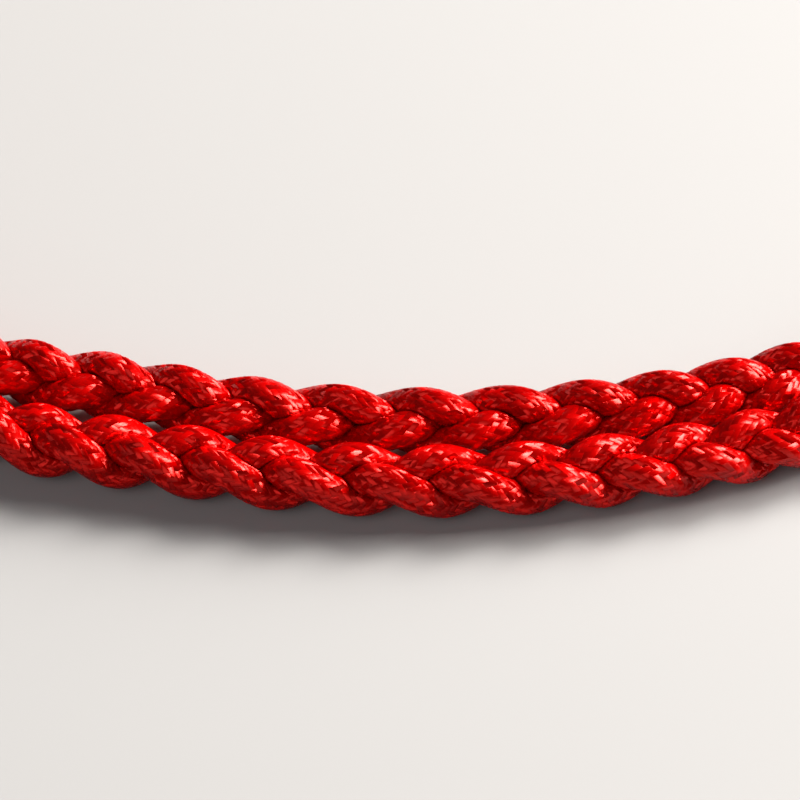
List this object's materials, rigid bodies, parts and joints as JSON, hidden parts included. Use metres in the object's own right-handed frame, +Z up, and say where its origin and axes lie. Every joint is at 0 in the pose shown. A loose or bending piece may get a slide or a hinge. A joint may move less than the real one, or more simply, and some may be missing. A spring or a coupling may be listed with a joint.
{
  "type": "lead rope",
  "caption": "Plaited lead rope in red braided cord, wound in a flat coil, with a swivel bolt snap at one end and a whipped, sealed loose end.",
  "frame": {"origin": "on the floor, under the middle of the snap", "axes": "+X along the snap towards its hook, +Y to the side that the hook bows out to, +Z up from the floor"},
  "size_m": [0.4597, 0.4314, 0.015],
  "materials": {
    "red_cord": "shiny braided filament cord",
    "red_twine": "waxed twine, darker than the cord",
    "cast_brass": "tumbled casting, slightly tarnished in the corners",
    "turned_brass": "smooth turned brass",
    "spring_steel": "bright spring wire"
  },
  "bodies": {
    "rope": {"rope_eye": "red_cord", "eye_whipping": "red_twine", "rope_lead": "red_cord", "rope_coil": "red_cord", "rope_tail": "red_cord", "tail_whipping": "red_twine", "cord_tips": "red_cord"},
    "eye": {"swivel_eye": "cast_brass"},
    "snap": {"snap_body": "cast_brass", "swivel_collar": "turned_brass", "swivel_washer": "spring_steel", "bolt_spring": "spring_steel"},
    "bolt": {"snap_bolt": "turned_brass", "bolt_stud": "turned_brass"}
  },
  "joints": [
    {"name": "eye_pitch", "type": "hinge", "parent": "rope", "child": "eye", "pos_m": [-0.053, -0.0066, 0.0075], "axis": [0, 1, 0], "range_deg": [-90, 90]},
    {"name": "swivel_turn", "type": "hinge", "parent": "eye", "child": "snap", "pos_m": [-0.028, -0.0066, 0.0075], "axis": [1, 0, 0], "continuous": true},
    {"name": "bolt_slide", "type": "slide", "parent": "snap", "child": "bolt", "axis": [-1, 0, 0], "range_m": [0, 0.014], "stiffness_N_per_m": 700, "springref_m": -0.0114, "deforming": ["bolt_spring"]}
  ]
}
